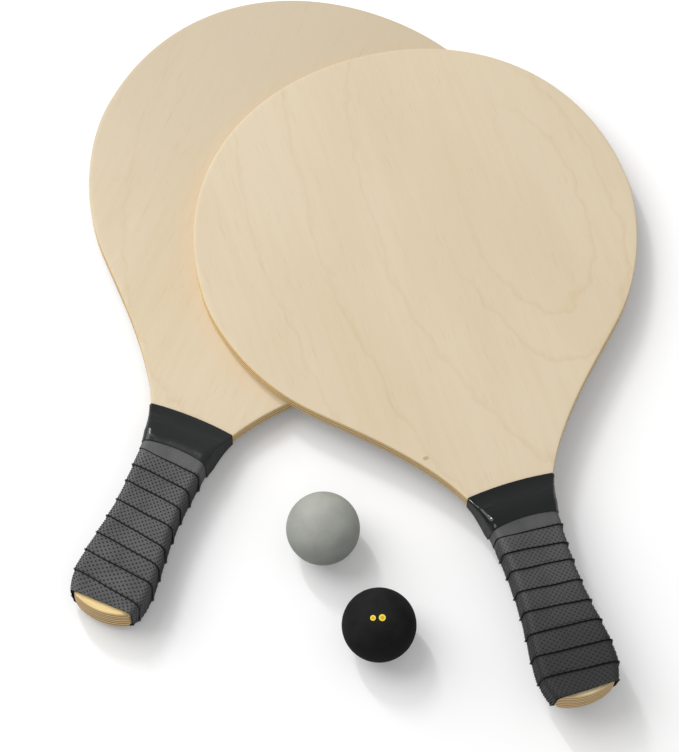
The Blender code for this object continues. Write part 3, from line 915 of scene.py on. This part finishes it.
def lip(which, turn):
    """How far along the paddle the strip's lower edge is, after so many turns from the neck."""
    edges = np.array(TURN_EDGES[which]) / 1000
    index = np.arange(len(edges), dtype=float)
    pitch = np.interp(turn, index[:-1] + 0.5, np.diff(edges))
    lean = np.interp(turn, index, TURN_SLOPES[which]) + pitch / GIRTH
    aside = around(TOP_MIDDLE - turn, *PLAIN_SECTION)[0]
    hand_ripple = 0.00012 * np.sin(turn * 17.0 + 1.3) + 0.00008 * np.sin(turn * 41.0)
    return lean * aside - np.interp(turn, index, edges) + hand_ripple


def turns_from_neck(flat):
    return (flat[:, 0] - flat[:, 0].min()) / (HOLES_ROUND * HOLE_STEP)


print("a turn shows", {which: round(float(np.mean(np.diff(edges))), 1)
                       for which, edges in TURN_EDGES.items()}, "mm")

# %% [markdown]
# ## The way round
# The flat strip is bent by a formula: its length becomes the way round, its width the way along, its
# height the way out of the wood. It could be wound in a cloth simulation, but that can't be made to
# meet measured edges. Width past the next lip stays tucked under it, and the film squeezes the foam.

# %% Bend the strip
TAPE_THIN = 0.0012
TAPE_THICK = 0.00165
TAPE_ROUNDING = 0.0028
TAPE_TOP = 0.019
SEAT_GAP = 0.0003
BAND_LENGTH = 0.023
BAND_BOW = 0.0028
MIN_PITCH = 0.009
TUCK_START, TUCK_RUN, TUCK_DEPTH = 0.0006, 0.001, 0.0004
FILM_EDGE = BAND_LENGTH + BAND_BOW + SEAT_GAP
SQUEEZE_RUN = 0.0035
SQUEEZED_STEP = 0.15
WOOD_GAP = 0.00002


def tape_height(y, turn, across, pitch):
    """How far out the tape's skin is: thick at its lip, thin where the next turn starts."""
    outer = TAPE_THICK - (TAPE_THICK - TAPE_THIN) * across / np.maximum(pitch, MIN_PITCH)
    outer += 0.00005 * np.sin(turn * 23.0 + across * 300)
    outer -= TUCK_DEPTH * np.clip((across - pitch - TUCK_START) / TUCK_RUN, 0, 1)
    squeezed = TAPE_THIN + SQUEEZED_STEP * (outer - TAPE_THICK)
    return squeezed + (outer - squeezed) * np.clip((-y - FILM_EDGE) / SQUEEZE_RUN, 0, 1)


def wind(which, flat):
    """Bend flat places (along, across, out) round the handle; how far past the next lip each is."""
    turn = turns_from_neck(flat)
    across = flat[:, 1] - flat[:, 1].min()
    y = across + lip(which, turn)
    pitch = lip(which, turn - 1) - lip(which, turn)
    past_lip = np.where(turn < 1, -pitch - 1, across - pitch)
    out = np.maximum(tape_height(y, turn, across, pitch) + flat[:, 2], WOOD_GAP) + SEAT_GAP
    half = half_width(np.minimum(y, -TAPE_TOP / 2), HANDLE_LENGTH[which])
    x, z = around(TOP_MIDDLE - turn, half + out, HANDLE_HALF + out, TAPE_ROUNDING + out * 0.6,
                  CHEEK_ROUNDING + out)
    return np.column_stack([x, y, z]), past_lip


print("a lip stands", round(1000 * (TAPE_THICK - TAPE_THIN), 2), "mm proud")

# %% [markdown]
# ## Wound tape
# The sheet is made flat, wound and trimmed across the handle at both ends, as a knife would. The
# holes fade out towards the film, where the foam is pressed flat. What the finish needs to know of
# the strip is stored on it: its flat map, cut edge, shoulders and distance to the next lip.

# %% Wind the tape
TAPE_END = {"lower": 0.1188, "upper": 0.1238}
TAPE_END_LEAN = {"lower": 0.0, "upper": 0.13}
PLAIN_UNTIL, PLAIN_FADE = 0.0305, 0.002
# how wide the painted highlight runs along each shoulder of the grip
SHOULDER_SHEEN_WIDTH = 0.02


def flat_strip(which):
    """The perforated sheet as a plain mesh, made by the node tree."""
    blank = bpy.data.objects.new("blank_strip", bpy.data.meshes.new("blank_strip"))
    bpy.context.scene.collection.objects.link(blank)
    punch = blank.modifiers.new("perforated sheet", "NODES")
    punch.node_group = net.tree
    values = dict(zip(LENGTHS, (HOLE_STEP, ROW_STEP, HOLE_WIDTH, HOLE_DEPTH, TAPE_SHEET)))
    values.update(zip(COUNTS, (TURNS * HOLES_ROUND, ROWS)), finish=foams[which].material)
    for item in net.tree.interface.items_tree:
        if item.in_out == "INPUT":
            punch[item.identifier] = values[item.name]
    graph = bpy.context.evaluated_depsgraph_get()
    mesh = bpy.data.meshes.new_from_object(blank.evaluated_get(graph))
    bpy.data.objects.remove(blank)
    return mesh


def store(mesh, name, values):
    layer = mesh.attributes.new(name, "FLOAT", "POINT")
    layer.data.foreach_set("value", values.astype(np.float32))


def fade_holes(mesh, which, flat, corners):
    """Make the holes shallower and paler towards the film, and give back the changed flat places."""
    places, _ = wind(which, flat)
    shown = np.clip((-places[:, 1] - PLAIN_UNTIL) / PLAIN_FADE, 0.1, 1)
    flat[:, 2] = np.where(flat[:, 2] < -HOLE_DEPTH - WELD, flat[:, 2], flat[:, 2] * shown)
    starts = np.zeros(len(mesh.polygons), dtype=int)
    mesh.polygons.foreach_get("loop_start", starts)
    pits = np.zeros(len(mesh.polygons), dtype=np.float32)
    mesh.attributes["pit"].data.foreach_get("value", pits)
    faded = pits * shown[corners[starts]]
    mesh.attributes["pit"].data.foreach_set("value", faded.astype(np.float32))
    return flat


def trim(shape, level, outwards):
    """Cut the tape across the handle and close the cut."""
    cut = bmesh.ops.bisect_plane(shape, geom=shape.verts[:] + shape.edges[:] + shape.faces[:],
                                 plane_co=(0, level, HANDLE_HALF), plane_no=outwards,
                                 clear_outer=True)
    rim = [item for item in cut["geom_cut"] if isinstance(item, bmesh.types.BMEdge)]
    bmesh.ops.triangle_fill(shape, use_beauty=True, edges=rim, normal=outwards)


def wound_tape(which):
    mesh = flat_strip(which)
    flat = np.zeros(len(mesh.vertices) * 3)
    mesh.vertices.foreach_get("co", flat)
    flat = flat.reshape(-1, 3)
    corners = np.zeros(len(mesh.loops), dtype=int)
    mesh.loops.foreach_get("vertex_index", corners)
    layer = mesh.uv_layers.new(name="strip")
    layer.data.foreach_set("uv", flat[corners, :2].astype(np.float32).ravel())
    flat = fade_holes(mesh, which, flat, corners)
    places, past_lip = wind(which, flat)
    lower_wall = (flat[:, 1] < flat[:, 1].min() + WELD) & (flat[:, 2] < -TAPE_SHEET / 2)
    share = np.mod(TOP_MIDDLE - turns_from_neck(flat), 1)
    near = np.minimum(abs(share - GIRTH_STOPS[2] - SHOULDER_SHEEN_WIDTH),
                      abs(share - GIRTH_STOPS[1] + SHOULDER_SHEEN_WIDTH))
    store(mesh, "past_lip", past_lip)
    store(mesh, "cut_edge", lower_wall)
    # the shoulder mark places the painted highlight on the grip's shoulders
    store(mesh, "shoulder", np.exp(-(near / SHOULDER_SHEEN_WIDTH) ** 2))
    mesh.vertices.foreach_set("co", places.astype(np.float32).ravel())
    shape = bmesh.new()
    shape.from_mesh(mesh)
    trim(shape, -TAPE_TOP, (0, 1, 0))
    trim(shape, -TAPE_END[which], (0, -1, -TAPE_END_LEAN[which]))
    return to_mesh(shape, which + "_wound_tape", which, 40)


for which in ("lower", "upper"):
    add_piece(which + "_wound_tape", wound_tape(which), foams[which], "grip_tape",
              which + "_grip_tape")

# %% [markdown]
# ## Neck film
# A short tube of glossy stretch film grips the foot of the blade and the first turn of the tape, and
# hides the cheeks' sloping noses. Pulled tight, it bows at the sides and creases a little over the
# shoulders. A shrunken tube could be simulated, but its form is simple: rings that follow the section
# from board to tape, bowed and slightly rippled where the film is slack.

# %% Stretch the film
BAND_THICKNESS = 0.0006
FILM_ROUND = 168
FILM_ALONG = 34
FILM_BACK = 10
FILM_LIP = 0.003
FILM_SLANT = {"lower": 0.05, "upper": 0.17}
NARROW_SIDE = 0.0145
CREASE_WIDTH = 0.05


def film_station(y, wall, length):
    """Half width, half height and corner of the film at y, a wall's thickness out."""
    on_tape = TAPE_THIN + SEAT_GAP
    rise = np.clip((-y - 0.0005) / (TAPE_TOP + 0.0015), 0, 1)
    height = BOARD_HALF + (HANDLE_HALF + on_tape - BOARD_HALF) * rise * rise * (3 - 2 * rise)
    climb = np.interp(-y, [CHEEK_FROM_NECK, TAPE_TOP], [0, 1])
    rounding = RIM_ROUNDING + (TAPE_ROUNDING + on_tape * 0.6 - RIM_ROUNDING) * climb ** 1.5
    out = (SEAT_GAP + wall) * np.interp(-y, [0.5 * BAND_LENGTH, BAND_LENGTH], [1.0, 0.5])
    return half_width(y, length) + on_tape * climb ** 2 + out, height + out, rounding + out


def creases(share, along, seed):
    """How far the film stands out of its smooth form, more on the shoulders than on the faces."""
    shoulder = 0
    for weight, stop in ((1.0, GIRTH_STOPS[2]), (0.6, GIRTH_STOPS[1])):
        away = np.mod(share - stop + 0.5, 1) - 0.5
        shoulder = shoulder + weight * np.exp(-(away / CREASE_WIDTH) ** 2)
    fold = np.sin(along * 748 + share * 16 + seed)
    fold += 0.4 * np.sin(along * 1430 - share * 50 + 2 * seed)
    slack = 0.35 * np.sin(share * 38 + along * 160 + seed)
    return 0.00016 * shoulder * fold + 0.00003 * slack


def film_mesh(which, seed):
    length = HANDLE_LENGTH[which]
    shares = np.arange(FILM_ROUND) / FILM_ROUND
    plain_x, plain_z = around(shares, *PLAIN_SECTION)
    bow = BAND_BOW * (plain_x / WAIST_HALF) ** 2
    slant = FILM_SLANT[which] * (HANDLE_HALF - plain_z)
    outer = [(step / FILM_ALONG, 1.0) for step in range(FILM_ALONG + 1)]
    inner = [(step / FILM_BACK, 0.0) for step in range(FILM_BACK, -1, -1)]
    profile = outer + [(1 + FILM_LIP, 0.5)] + inner + [(-FILM_LIP, 0.5)]
    shape = bmesh.new()
    on_side = shape.verts.layers.float.new("side")
    flank_share = np.clip((abs(plain_x) - NARROW_SIDE) / 0.0007, 0, 1)
    rings = []
    for along, wall in profile:
        y = -BAND_LENGTH * along - bow + slant * max(along, 0.0)
        half, height, rounding = film_station(y, BAND_THICKNESS * wall, length)
        fade = min(1.0, 8 * along, 8 * (1 - along)) if wall == 1.0 else 0.0
        lift = np.abs(creases(shares, y, seed)) * max(fade, 0.0)
        x, z = around(shares, half + lift, height + lift, rounding + lift)
        rings.append([shape.verts.new(place) for place in zip(x, y, z)])
        for vert, value in zip(rings[-1], flank_share):
            vert[on_side] = value
    join_rings(shape, rings, "joined")
    return to_mesh(shape, which + "_neck_film", which)


films = {which: film_mesh(which, seed) for which, seed in (("lower", 0.4), ("upper", 2.1))}
print(len(films), "films of", len(films["upper"].polygons), "faces")

# %% [markdown]
# ## Film finish
# The film is black and glossy on the wide faces, and duller on the narrow sides, where it is
# stretched less. The lower one lies more open to the light: its greyer tones are a painted sheen,
# and it is a little softer.

# %% Mix the film finish
# the lower film's greyer tones are a painted sheen, the upper film's are its own black
FILM_TONES_AND_SHEEN = {"lower": (tone(16, 18, 18), tone(32, 35, 35)),
              "upper": (tone(6, 8, 8), tone(15, 18, 18))}
FILM_DULLNESS = {"lower": 0.14, "upper": 0.04}


def gloss_film(which):
    film = Finish(which + "_gloss_film", Specular_IOR_Level=0.42)
    place = on_paddle(film, which)
    cloud = film.noise(place, (60, 160, 60), detail=3)
    crease = film.noise(place, (420, 110, 420), distortion=0.8)
    film.feed(Base_Color=film.mix(cloud, *FILM_TONES_AND_SHEEN[which]),
              Roughness=FILM_DULLNESS[which] + cloud * 0.10 + film.attribute("side") * 0.6,
              Normal=film.bump(crease, 0.00012, 0.2))
    return film


for which, film in films.items():
    add_piece(which + "_neck_film", film, gloss_film(which), "neck_band", which + "_neck_band")

# %% [markdown]
# ## Rubber balls
# Both balls are moulded in soft rubber with a dull, faintly speckled skin. A sphere from a globe's
# lines of longitude pinches at its poles, so each ball is a cube cut into small squares and blown up
# round. The black ball has two small yellow dots moulded flush, which are part of its finish.

# %% Mould the balls
BALL_RADIUS = 0.020
BALL_CUTS = 35
BALL_SPOTS = {name: (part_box(name)[0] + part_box(name)[1]) / 2 for name in ("grey_ball", "black_ball")}
DOTS = (((-0.175, -0.1045, 0.9785), 0.00150), ((0.0698, -0.1005, 0.9925), 0.00182))
DOT_YELLOW, DOT_AMBER = tone(246, 222, 84), tone(214, 178, 40)
DOT_EDGE = 0.0001


def ball_mesh(name):
    shape = bmesh.new()
    bmesh.ops.create_cube(shape, size=2.0)
    bmesh.ops.subdivide_edges(shape, edges=shape.edges, cuts=BALL_CUTS, use_grid_fill=True)
    for vert in shape.verts:
        even = Vector([sin(side * pi / 4) / sin(pi / 4) for side in vert.co])
        vert.co = even.normalized() * BALL_RADIUS + BALL_SPOTS[name]
    return to_mesh(shape, name + "_skin")


def rubber(name, pale, dark, speck, shine):
    skin = Finish(name, Specular_IOR_Level=shine)
    place = skin.place()
    cloud = skin.noise(place, (90,) * 3, detail=3)
    grain = skin.noise(place, (1900,) * 3, roughness=0.7)
    colour = skin.mix(cloud.rise(0.3, 0.7), pale, dark)
    colour = skin.mix(grain.rise(0.55, 0.8) * 0.5, colour, speck)
    return skin, place, grain, colour


grey, place, grain, colour = rubber("grey_rubber", tone(167, 169, 162), tone(157, 159, 152),
                                    tone(134, 135, 128), 0.3)
grey.feed(Base_Color=colour, Roughness=0.55 + grain * 0.2, Normal=grey.bump(grain, 0.00006, 0.6))
add_piece("grey_rubber_ball", ball_mesh("grey_ball"), grey, "grey_rubber", "grey_ball")

black, place, grain, colour = rubber("black_rubber", tone(36, 36, 37), tone(29, 29, 30),
                                     tone(50, 50, 50), 0.06)
relief = grain
for direction, radius in DOTS:
    middle = BALL_SPOTS["black_ball"] + Vector(direction).normalized() * BALL_RADIUS
    away = black.node("ShaderNodeVectorMath", {"operation": "DISTANCE"},
                      {0: place, 1: middle}, "Value")
    yellow = black.mix(away.rise(radius * 0.45, radius * 0.7), DOT_AMBER, DOT_YELLOW)
    colour = black.mix(away.rise(radius + DOT_EDGE, radius - DOT_EDGE), colour, yellow)
    relief = relief + away.rise(radius + 2 * DOT_EDGE, radius - DOT_EDGE) * 0.6
black.feed(Base_Color=colour, Roughness=0.72 + grain * 0.2, Normal=black.bump(relief, 0.00006, 0.6))
add_piece("black_rubber_ball", ball_mesh("black_ball"), black, "black_rubber", "black_ball")

# %% [markdown]
